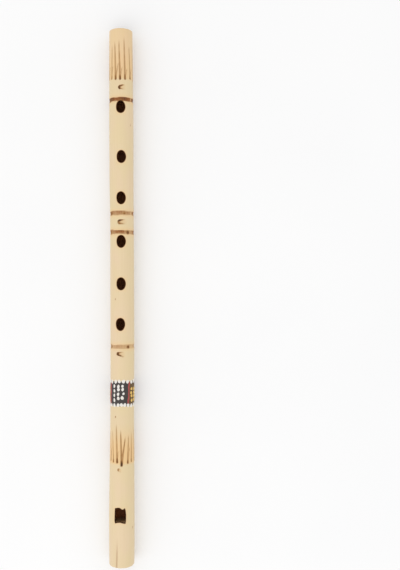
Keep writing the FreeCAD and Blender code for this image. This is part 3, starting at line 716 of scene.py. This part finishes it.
def bore_radius(turn, station):
    """The bore, wider round the block, and cut out under the window's far edge by a ramp that is
    deepest at the edge and runs out beyond it."""
    sizes = bpy.context.scene.flute_sizes
    radius = np.where(station < SHOULDER, mm(sizes.block_seat) / 2, mm(sizes.bore) / 2)
    side = np.abs(across(turn, WINDOW_AT[1])) * RAMP_RADIUS
    ramp = RAMP_HEIGHT * (1 - step(*RAMP_FALL, station)) * step(*RAMP_RISE, station)
    return radius + ramp * (1 - step(*RAMP_SIDE, side))


def turned(middle, side, radius):
    """The turn of a point that is a distance to the side of a middle turn, on a radius."""
    return middle + np.degrees(np.arcsin(np.clip(side / radius, -1, 1)))


class Skin:
    """The points of the tube's mesh, added row by row, with the values that its material reads."""

    def __init__(self):
        self.sets = {key: [] for key in ("turn", "station", "radius") + LAYERS}
        self.count = 0

    def add(self, turn, station, radius, **values):
        """Adds points and returns their numbers, in the shape of the arrays."""
        shape = np.broadcast(turn, station, radius).shape
        numbers = np.arange(self.count, self.count + math.prod(shape)).reshape(shape)
        self.count += numbers.size
        values.update(turn=turn, station=station, radius=radius)
        for key, parts in self.sets.items():
            parts.append(np.broadcast_to(values.get(key, 0.0), shape).ravel())
        return numbers

    def add_marked(self, middle_turn, at, side, along, sink=0.0, char=0.0, warm=0.0, fresh=0.0):
        """Adds a ring on the carved skin round an opening, sunk by a little, from its plan. Also
        returns how high above the axis it is."""
        station = at + along
        turn = turned(middle_turn, side, GAP_RADIUS)
        for _ in range(2):
            turn = turned(middle_turn, side, outer_radius(turn, station))
        marks = Marks(turn, station)
        height = np.sqrt((marks.radius - marks.depth) ** 2 - side**2) - sink
        turn = middle_turn + np.degrees(np.arctan2(side, height))
        numbers = self.add(turn, station, np.hypot(side, height), char=np.maximum(marks.char, char),
                           knife=marks.knife, warm=np.maximum(marks.warm, warm),
                           fresh=np.maximum(marks.fresh, fresh))
        return height, numbers

    def mesh(self, name, faces):
        """The mesh of all points, none of them below the flat under the tube."""
        values = {key: np.concatenate(parts) for key, parts in self.sets.items()}
        points = on_tube(values["turn"], values["radius"], values["station"])
        points[:, 2] = np.maximum(points[:, 2], flat_height(values["station"]))
        return mesh_object(name, points, faces, {key: values[key] for key in LAYERS})


def outer_rows(skin, turns):
    """Rows over the outside of the tube, which fall away in a quarter circle at both ends. Returns
    their stations, their numbers and their radii."""
    sizes = bpy.context.scene.flute_sizes
    mouth, far = mm(sizes.mouth_round), mm(sizes.far_round)
    stations = row_stations()
    body = stations[(stations > mouth + 0.1) & (stations < LENGTH - far - 0.1)]
    arc = np.linspace(0, np.pi / 2, 8)
    outer = np.concatenate([mouth * (1 - np.cos(arc)), body, LENGTH - far * (1 - np.cos(arc[::-1]))])
    drop = np.concatenate([mouth * (1 - np.sin(arc)), np.zeros(len(body)), far * (1 - np.sin(arc[::-1]))])
    turn, station = np.meshgrid(turns, outer)
    marks = Marks(turn, station)
    shallower = step(0, 2.0, station) * 0.5 + 0.5
    radius = marks.radius - marks.depth * shallower - drop[:, None]
    worn = step(0.3, 0.95, drop / np.where(outer < LENGTH / 2, mouth, far)) * 0.8
    numbers = skin.add(turn, station, radius, char=np.maximum(marks.char, hole_char(turn, station)),
                       knife=marks.knife, warm=marks.warm, fresh=marks.fresh, grain=worn[:, None])
    return outer, numbers, radius


def bore_rows(skin, turns, outer, keep):
    """Rows down the bore from the far end: spread out, and beside the openings at the stations of
    the outer rows that are kept. Returns their numbers and, for a kept outer row, which row it is."""
    spread = np.concatenate([np.arange(LENGTH - 0.5, 2.0, -9.0), [34.3, 34.7, 47.0, 48.0, 49.2]])
    spread = np.array([at for at in spread if not keep[np.argmin(np.abs(outer - at))]])
    stations = np.concatenate([spread, outer[keep]])
    order = np.argsort(-stations, kind="stable")
    turn, station = np.meshgrid(turns, stations[order])
    numbers = skin.add(turn, station, bore_radius(turn, station), bore=1.0, char=0.35)
    row_of = np.full(len(outer), -1)
    row_of[keep] = np.argsort(order)[len(spread):]
    return numbers, row_of


def build_tube():
    """The culm: one closed skin over the outside, round the far rim, back through the bore and round
    the mouth rim. Its rows and columns are even in station and turn. Round each opening a block of
    faces is left out, outside and inside, and rings of faces lead from the outer gap over the
    opening's rim, down its wall and out to the inner gap."""
    sizes = bpy.context.scene.flute_sizes
    columns = sizes.columns
    turns = np.arange(columns) * 360.0 / columns
    skin = Skin()
    outer, numbers, radius = outer_rows(skin, turns)
    rows = [numbers]

    # the far face, from the eased outer rim to the bore's rim
    bore, rim = mm(sizes.bore) / 2, radius[-1]
    for share in (0.25, 0.5, 0.75, 0.94):
        rows.append(skin.add(turns, LENGTH, rim + (bore + 0.3 - rim) * share / 0.94, grain=1.0)[None, :])
    rows.append(skin.add(turns, LENGTH - 0.09, np.full(columns, bore + 0.09), grain=1.0)[None, :])

    gaps = [("hole", at, turn, *HOLE_GAP) for at, turn in HOLES] + [("window", *WINDOW_AT, *WINDOW_GAP)]
    keep = np.zeros(len(outer), bool)
    spans = []
    for _, at, turn, reach, spread in gaps:
        low, high = int(np.searchsorted(outer, at - reach)) - 1, int(np.searchsorted(outer, at + reach))
        middle, half = int(round(turn / 360.0 * columns)), int(round(spread / 360.0 * columns))
        spans.append((low, high, middle - half, middle + half))
        keep[low:high + 1] = True
    inner_start = sum(len(part) for part in rows)
    numbers, row_of = bore_rows(skin, turns, outer, keep)
    inner_row = inner_start + row_of
    rows.append(numbers)

    # the mouth face, from the block seat's rim to the rounded outer rim
    seat, rim = mm(sizes.block_seat) / 2, radius[0]
    rows.append(skin.add(turns, 0.12, np.full(columns, seat), grain=1.0)[None, :])
    for share in (0.06, 0.35, 0.7):
        face_radius = seat + 0.1 + (rim - seat - 0.1) * (share - 0.06) / 0.94
        rows.append(skin.add(turns, 0.0, face_radius, grain=1.0)[None, :])
    loop = np.concatenate(rows + [rows[0][:1]])
    quads = closed_faces(loop)
    closed = np.ones(quads.shape[:2], bool)
    patches = []
    for (name, at, turn, _, _), (low, high, left, right) in zip(gaps, spans):
        held = np.arange(left, right) % columns
        closed[np.ix_(np.arange(low, high), held)] = False
        closed[np.ix_(np.arange(inner_row[high], inner_row[low]), held)] = False
        edge_row, edge_side = gap_edge(low, high, left, right)
        edge = edge_side % columns
        patches.append(opening_faces(skin, name, at, turn, outer[edge_row], edge_side * 360.0 / columns,
                                     loop[edge_row, edge], loop[inner_row[edge_row], edge]))
    return skin.mesh("bamboo_culm", np.concatenate([quads[closed]] + patches).tolist())


def gap_edge(low, high, left, right):
    """Rows and columns of points once round a gap: along its near edge, up the right, back along its
    far edge and down the left."""
    sides, rows = np.arange(left, right + 1), np.arange(low, high + 1)
    edge_row = np.concatenate([np.full(len(sides) - 1, low), rows[:-1],
                               np.full(len(sides) - 1, high), rows[:0:-1]])
    edge_side = np.concatenate([sides[:-1], np.full(len(rows) - 1, right),
                                sides[:0:-1], np.full(len(rows) - 1, left)])
    return edge_row, edge_side


def opening_faces(skin, name, at, middle_turn, gap_station, gap_turn, outside, inside):
    """Rings of faces through the wall at one opening. Each ring has one point for every point of the
    gap's edge. Between the edge and the rim the points move in a straight line on the plan, and at
    the rim they turn over a quarter circle and go straight down."""
    delta = np.radians(gap_turn - middle_turn)
    wide, tall = np.sin(delta) * GAP_RADIUS, gap_station - at
    angle = np.arctan2(wide / np.max(np.abs(wide)), tall / np.max(np.abs(tall)))
    rim_side, rim_along = rim_plan(name, at, angle)
    size = np.hypot(rim_side, rim_along)
    rim_burn, wall_burn = (0.9, 0.9) if name == "hole" else (0.35, 1.0)
    rings = [outside]
    eased = 1 + RIM_EASE / size
    for share, char in ((0.3, 0.0), (0.55, 0.0), (0.76, 0.0), (0.9, 0.0), (1.0, 0.5 * rim_burn)):
        side = wide + (rim_side * eased - wide) * share
        along = tall + (rim_along * eased - tall) * share
        rings.append(skin.add_marked(middle_turn, at, side, along, char=char, warm=0.3 * share)[1])
    for share in (0.35, 0.7, 1.0):
        out = 1 + RIM_EASE * (1 - math.sin(share * math.pi / 2)) / size
        sunk = RIM_EASE * (1 - math.cos(share * math.pi / 2))
        top, ring = skin.add_marked(middle_turn, at, rim_side * out, rim_along * out, sink=sunk,
                                    char=rim_burn * (0.7 + 0.3 * share), fresh=1.0)
        rings.append(ring)

    # straight down the wall to the bore
    bore = mm(bpy.context.scene.flute_sizes.bore) / 2
    station = at + rim_along
    bottom = np.sqrt(bore_radius(turned(middle_turn, rim_side, bore), station) ** 2 - rim_side**2)
    for share in (0.35, 0.7, 1.0):
        height = top + (bottom - top) * share
        turn = middle_turn + np.degrees(np.arctan2(rim_side, height))
        radius = np.hypot(rim_side, height)
        rings.append(skin.add(turn, station, radius, char=wall_burn, fresh=1.0, bore=share))

    # along the bore to the inner gap
    inner_side = np.sin(delta) * bore_radius(gap_turn, gap_station)
    for share in (0.35, 0.7):
        side = rim_side + (inner_side - rim_side) * share
        station = at + rim_along + (tall - rim_along) * share
        radius = bore_radius(turned(middle_turn, side, bore), station)
        rings.append(skin.add(turned(middle_turn, side, radius), station, radius, bore=1.0, char=0.35))
    return closed_faces(np.stack(rings + [inside])).reshape(-1, 4)


class FLUTE_OT_tube(bpy.types.Operator):
    """Make the bamboo tube with its holes, window, carving and burning"""
    bl_idname = "flute.tube"
    bl_label = "Bamboo tube"

    def execute(self, context):
        piece = build_tube()
        piece.data.materials.append(bamboo_material(context.scene.flute_colours))
        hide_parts("bamboo_tube")
        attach(piece, "root")
        return {"FINISHED"}


# the block


def build_block():
    """The plug: a round profile with a flat channel on top, carried along the tube with eased ends
    and closed by a fan of triangles to the middle of each end."""
    turns = np.arange(0, 360, 3.0)
    seat = mm(bpy.context.scene.flute_sizes.block_seat) / 2 - BLOCK_PLAY
    side = np.abs(np.sin(across(turns, WINDOW_AT[1]))) * seat
    top = np.cos(across(turns, WINDOW_AT[1]))
    flat = (seat - WINDWAY_HEIGHT) / np.maximum(top, 1e-6)
    wall = np.where((top > 0) & (side < WINDWAY_HALF), np.minimum(seat, flat), seat)
    at, share = np.array(BLOCK_PROFILE).T
    station = np.repeat(at, len(turns))
    points = on_tube(np.tile(turns, len(at)), np.outer(share, wall).ravel(), station)
    ends = on_tube(np.zeros(2), np.zeros(2), at[[0, -1]])
    grid = np.arange(len(points)).reshape(len(at), len(turns))
    after = np.roll(grid, -1, axis=1)
    first, last = np.full(len(turns), len(points)), np.full(len(turns), len(points) + 1)
    faces = closed_faces(grid).reshape(-1, 4).tolist()
    faces += np.stack([first, after[0], grid[0]], axis=-1).tolist()
    faces += np.stack([last, grid[-1], after[-1]], axis=-1).tolist()
    # painted shade: the block's last two millimetres and the middle of its end under the window are darkened,
    # held in the char value
    painted_window_shade = 0.3 * np.concatenate([step(31.5, 33.4, station), [0.0, 1.0]])
    return mesh_object("wood_block", np.concatenate([points, ends]), faces, {"char": painted_window_shade})


class FLUTE_OT_block(bpy.types.Operator):
    """Make the wooden block in the mouth end"""
    bl_idname = "flute.block"
    bl_label = "Block"

    def execute(self, context):
        piece = build_block()
        piece.data.materials.append(block_material())
        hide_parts("fipple_block")
        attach(piece, "root")
        return {"FINISHED"}


# the painted band


def coat_height(turn, station):
    """Radius of the top of the paint: the skin, the coat and brush marks along the band."""
    coat = mm(bpy.context.scene.flute_sizes.coat)
    return outer_radius(turn, station) + coat * (0.82 + 0.14 * np.sin(np.radians(turn) * 9 + station * 1.3))


def build_coat(name, parts, seed, slant=0.0, lift_over=0.0, inset=0.0):
    """Thin closed patches of paint: each is a grid over its turns and stations, whose outline
    wanders by a few tenths of a millimetre and whose height falls to the skin at its edge. A
    slant turns the patch as it goes along the tube, and lift_over lays it over its neighbours."""
    rng = np.random.default_rng(seed)
    points, faces, base = [], [], 0
    for first, last in parts:
        columns = max(8, int((last - first) / 2.0))
        u, v = np.meshgrid(np.linspace(0, 1, columns + 1), np.linspace(0, 1, COAT_ROWS + 1))
        shift = rng.uniform(0, 6.28, 4)
        left = 1.2 * np.sin(v * 9 + shift[0]) + 0.7 * np.sin(v * 23 + shift[1])
        right = 1.2 * np.sin(v * 8 + shift[2]) + 0.7 * np.sin(v * 21 + shift[3])
        turn = first + left + (last - first + right - left) * u + slant * (v - 0.5)
        angle = np.radians(turn)
        near = 0.2 * np.sin(angle * 11 + shift[1]) + 0.1 * np.sin(angle * 29) - inset
        far = 0.2 * np.sin(angle * 10 + shift[2]) + 0.1 * np.sin(angle * 31) - inset
        station = BAND[0] - near + (BAND[1] - BAND[0] + near + far) * v
        edge = np.minimum(np.minimum(u, 1 - u) * columns, np.minimum(v, 1 - v) * COAT_ROWS)
        skin = outer_radius(turn, station)
        cover = 0.25 + 0.75 * np.clip(edge, 0, 1)
        top = skin + (coat_height(turn, station) + lift_over - skin) * cover
        points += [on_tube(turn, radius, station).reshape(-1, 3) for radius in (top, skin - COAT_SINK)]
        grid = np.arange(u.size).reshape(u.shape) + base
        above = open_faces(grid)
        rim = np.concatenate([grid[0, :-1], grid[:-1, -1], grid[-1, :0:-1], grid[:0:-1, 0]])
        after = np.roll(rim, -1)
        walls = np.stack([rim, rim + u.size, after + u.size, after], axis=-1)
        faces += [above, above[:, ::-1] + u.size, walls]
        base += 2 * u.size
    return mesh_object(name, np.concatenate(points), np.concatenate(faces).tolist())


class FLUTE_OT_black(bpy.types.Operator):
    """Paint the black parts of the band"""
    bl_idname = "flute.black"
    bl_label = "Black ground"

    def execute(self, context):
        piece = build_coat("black_ground", BLACK_PARTS, 3)
        main, worn = context.scene.flute_colours.black, linear(84, 70, 60)
        paint = paint_material("black paint", main, worn, patches=0.35, gloss=0.4)
        piece.data.materials.append(paint)
        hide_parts("black_panels")
        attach(piece, "root")
        return {"FINISHED"}


class FLUTE_OT_ochre(bpy.types.Operator):
    """Paint the ochre parts of the band"""
    bl_idname = "flute.ochre"
    bl_label = "Ochre ground"

    def execute(self, context):
        piece = build_coat("ochre_ground", OCHRE_PARTS, 5, lift_over=-0.02, inset=0.1)
        main, worn = context.scene.flute_colours.ochre, linear(66, 48, 28)
        paint = paint_material("ochre paint", main, worn, patches=0.6, gloss=0.45)
        piece.data.materials.append(paint)
        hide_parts("ochre_panels")
        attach(piece, "root")
        return {"FINISHED"}


class FLUTE_OT_red(bpy.types.Operator):
    """Paint the red lines of the band"""
    bl_idname = "flute.red"
    bl_label = "Red lines"

    def execute(self, context):
        piece = build_coat("red_stripes", RED_PARTS, 7, slant=7.0, lift_over=0.03, inset=0.5)
        main, worn = context.scene.flute_colours.red, linear(112, 52, 48)
        paint = paint_material("red paint", main, worn, patches=0.6, gloss=0.42)
        piece.data.materials.append(paint)
        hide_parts("red_lines")
        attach(piece, "root")
        return {"FINISHED"}


def build_dots(name, spots, seed):
    """Domed dots of thick paint. A dot is six rings about its middle. Its height falls as a quarter
    circle towards its edge, its outline is an oval that two slow waves make uneven, and its skirt
    goes just below the skin."""
    rng = np.random.default_rng(seed)
    sizes = bpy.context.scene.flute_sizes
    rings = np.array(DOT_RINGS)[:, None]
    angles = np.arange(DOT_SIDES) * 2 * np.pi / DOT_SIDES
    spots = np.array(spots, float)
    count = len(spots)
    at, turn, wide, tall = spots.T[:, :, None, None]
    phase = rng.uniform(0, 6.28, (count, 2, 1, 1))
    uneven = 1 + 0.07 * np.sin(2 * angles + phase[:, 0]) + 0.05 * np.sin(3 * angles + phase[:, 1])
    side = wide / 2 * uneven * rings * np.sin(angles)
    station = at + tall / 2 * uneven * rings * np.cos(angles)
    angle = turn + np.degrees(side / BAND_RADIUS)
    rise = mm(sizes.dot_rise) * rng.uniform(0.75, 0.98, (count, 1, 1))
    skin = outer_radius(angle, station)
    radius = skin + mm(sizes.coat) + np.sqrt(np.clip(1 - rings**2, 0, 1)) * rise - DOT_SINK
    radius[:, -1] = skin[:, -1] - DOT_SINK
    middle_at, middle_turn = spots[:, 0], spots[:, 1]
    middle_skin = outer_radius(middle_turn, middle_at)
    tops = on_tube(middle_turn, middle_skin + mm(sizes.coat) + rise[:, 0, 0] - DOT_SINK, middle_at)
    bottoms = on_tube(middle_turn, middle_skin - 0.05, middle_at)
    points = on_tube(angle, radius, station).reshape(-1, 3)
    grid = np.arange(len(points)).reshape(radius.shape)
    walls = np.concatenate([closed_faces(dot) for dot in grid]).reshape(-1, 4)
    after = np.roll(grid, -1, axis=2)
    top = len(points) + np.arange(count)[:, None] + np.zeros((1, DOT_SIDES), int)
    caps = np.stack([top, after[:, 0], grid[:, 0]], axis=-1).reshape(-1, 3)
    feet = np.stack([top + count, grid[:, -1], after[:, -1]], axis=-1).reshape(-1, 3)
    faces = walls.tolist() + caps.tolist() + feet.tolist()
    return mesh_object(name, np.concatenate([points, tops, bottoms]), faces)


def white_spots():
    """All white dots: the measured ones in front, and like ones on the sides away from the holes."""
    rng = np.random.default_rng(11)
    edge_wide, edge_tall = EDGE_DOT
    spots = list(WHITE_DOTS)
    for at, turn, wide, tall in WHITE_DOTS:
        place = (at + rng.normal(0, 0.25), turn + 180 + rng.normal(0, 1.2))
        spots.append((*place, wide * rng.uniform(0.9, 1.1), tall * rng.uniform(0.9, 1.1)))
    for at, turn in EDGE_DOTS:
        spots.append((at, turn, edge_wide * rng.uniform(0.92, 1.08), edge_tall * rng.uniform(0.92, 1.08)))
    for at, spare in EDGE_SPARE_TURNS.items():
        for turn in spare:
            place = (at + rng.normal(0, 0.12), turn + rng.normal(0, 1.0))
            spots.append((*place, edge_wide * rng.uniform(0.9, 1.1), edge_tall * rng.uniform(0.9, 1.1)))
    return spots


def yellow_spots():
    """Three columns of four yellow dots on each ochre part."""
    rng = np.random.default_rng(23)
    spots = []
    for first, last in OCHRE_PARTS:
        for column in YELLOW_COLUMNS:
            for at in YELLOW_ROWS:
                place = (at + rng.normal(0, 0.15), first + (last - first) * column + rng.normal(0, 1.0))
                spots.append((*place, rng.uniform(1.8, 2.3), rng.uniform(2.2, 2.8)))
    return spots


class FLUTE_OT_white_dots(bpy.types.Operator):
    """Make the raised dots of white paint"""
    bl_idname = "flute.white_dots"
    bl_label = "White dots"

    def execute(self, context):
        piece = build_dots("white_paint_dots", white_spots(), 29)
        main, worn = context.scene.flute_colours.white, linear(232, 222, 200)
        paint = paint_material("white paint", main, worn, patches=0.4, gloss=0.4)
        piece.data.materials.append(paint)
        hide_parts("white_dots")
        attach(piece, "root")
        return {"FINISHED"}


class FLUTE_OT_yellow_dots(bpy.types.Operator):
    """Make the raised dots of yellow paint"""
    bl_idname = "flute.yellow_dots"
    bl_label = "Yellow dots"

    def execute(self, context):
        piece = build_dots("yellow_paint_dots", yellow_spots(), 31)
        main, worn = context.scene.flute_colours.yellow, linear(206, 150, 70)
        paint = paint_material("yellow paint", main, worn, patches=0.5, gloss=0.4)
        piece.data.materials.append(paint)
        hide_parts("ochre_dots")
        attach(piece, "root")
        return {"FINISHED"}


# the stage


def build_floor():
    """A flat grid, five metres each way."""
    half, count = 2500, 24
    x, y = np.meshgrid(np.linspace(-half, half, count), np.linspace(-half, half, count))
    points = np.stack([x, y, np.zeros_like(x)], axis=-1).reshape(-1, 3)
    return mesh_object("floor", points, open_faces(np.arange(x.size).reshape(x.shape)).tolist())


def add_lamp(name, place, size, power):
    """A soft square lamp that looks at the origin."""
    data = bpy.data.lights.new(name, "AREA")
    data.size = size
    data.energy = power
    light = bpy.data.objects.new(name, data)
    bpy.context.scene.collection.objects.link(light)
    light.location = place
    x, y, z = place
    light.rotation_euler = (math.pi / 2 - math.atan2(z, math.hypot(x, y)), 0.0, math.atan2(x, -y))


def set_world(scene):
    """Even white light from all round."""
    world = bpy.data.worlds.new("studio")
    world.use_nodes = True
    background = world.node_tree.nodes["Background"]
    background.inputs["Color"].default_value = (1.0, 1.0, 1.0, 1.0)
    background.inputs["Strength"].default_value = WORLD_STRENGTH
    scene.world = world


def set_camera(scene):
    """A camera that looks straight down, to one side of the tube as in the photograph."""
    data = bpy.data.cameras.new("camera")
    data.sensor_fit = "AUTO"
    data.sensor_width = 36.0
    data.lens = CAMERA_LENS
    camera = bpy.data.objects.new("camera", data)
    camera.location = CAMERA_AT
    scene.collection.objects.link(camera)
    scene.camera = camera


class FLUTE_OT_stage(bpy.types.Operator):
    """Set up the pale floor, the soft light and the camera above the flute"""
    bl_idname = "flute.stage"
    bl_label = "Floor, light and camera"

    def execute(self, context):
        scene = context.scene
        scene.view_settings.view_transform = "Standard"
        floor = build_floor()
        floor.data.materials.append(floor_material())
        set_world(scene)
        add_lamp("soft window", LAMP_AT, LAMP_SIZE, LAMP_POWER)
        set_camera(scene)
        return {"FINISHED"}


class FLUTE_PT_panel(bpy.types.Panel):
    """The flute's sizes, colours and pieces"""
    bl_idname = "FLUTE_PT_panel"
    bl_label = "Bamboo flute"
    bl_space_type = "VIEW_3D"
    bl_region_type = "UI"
    bl_category = "Flute"

    def draw(self, context):
        for group in (context.scene.flute_sizes, context.scene.flute_colours):
            box = self.layout.box()
            for key in group.__annotations__:
                box.prop(group, key)
        for operator in OPERATORS:
            self.layout.operator(operator.bl_idname)


OPERATORS = (FLUTE_OT_stage, FLUTE_OT_tube, FLUTE_OT_block, FLUTE_OT_black, FLUTE_OT_ochre, FLUTE_OT_red,
             FLUTE_OT_white_dots, FLUTE_OT_yellow_dots)
CLASSES = (FluteSizes, FluteColours) + OPERATORS + (FLUTE_PT_panel,)


def register():
    for item in CLASSES:
        bpy.utils.register_class(item)
    bpy.types.Scene.flute_sizes = bpy.props.PointerProperty(type=FluteSizes)
    bpy.types.Scene.flute_colours = bpy.props.PointerProperty(type=FluteColours)


def unregister():
    del bpy.types.Scene.flute_colours
    del bpy.types.Scene.flute_sizes
    for item in reversed(CLASSES):
        bpy.utils.unregister_class(item)


def main():
    """Makes the stage and every piece."""
    register()
    bpy.ops.flute.stage()
    bpy.ops.flute.tube()
    bpy.ops.flute.block()
    bpy.ops.flute.black()
    bpy.ops.flute.ochre()
    bpy.ops.flute.red()
    bpy.ops.flute.white_dots()
    bpy.ops.flute.yellow_dots()
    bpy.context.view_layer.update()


if __name__ == "__main__":
    main()
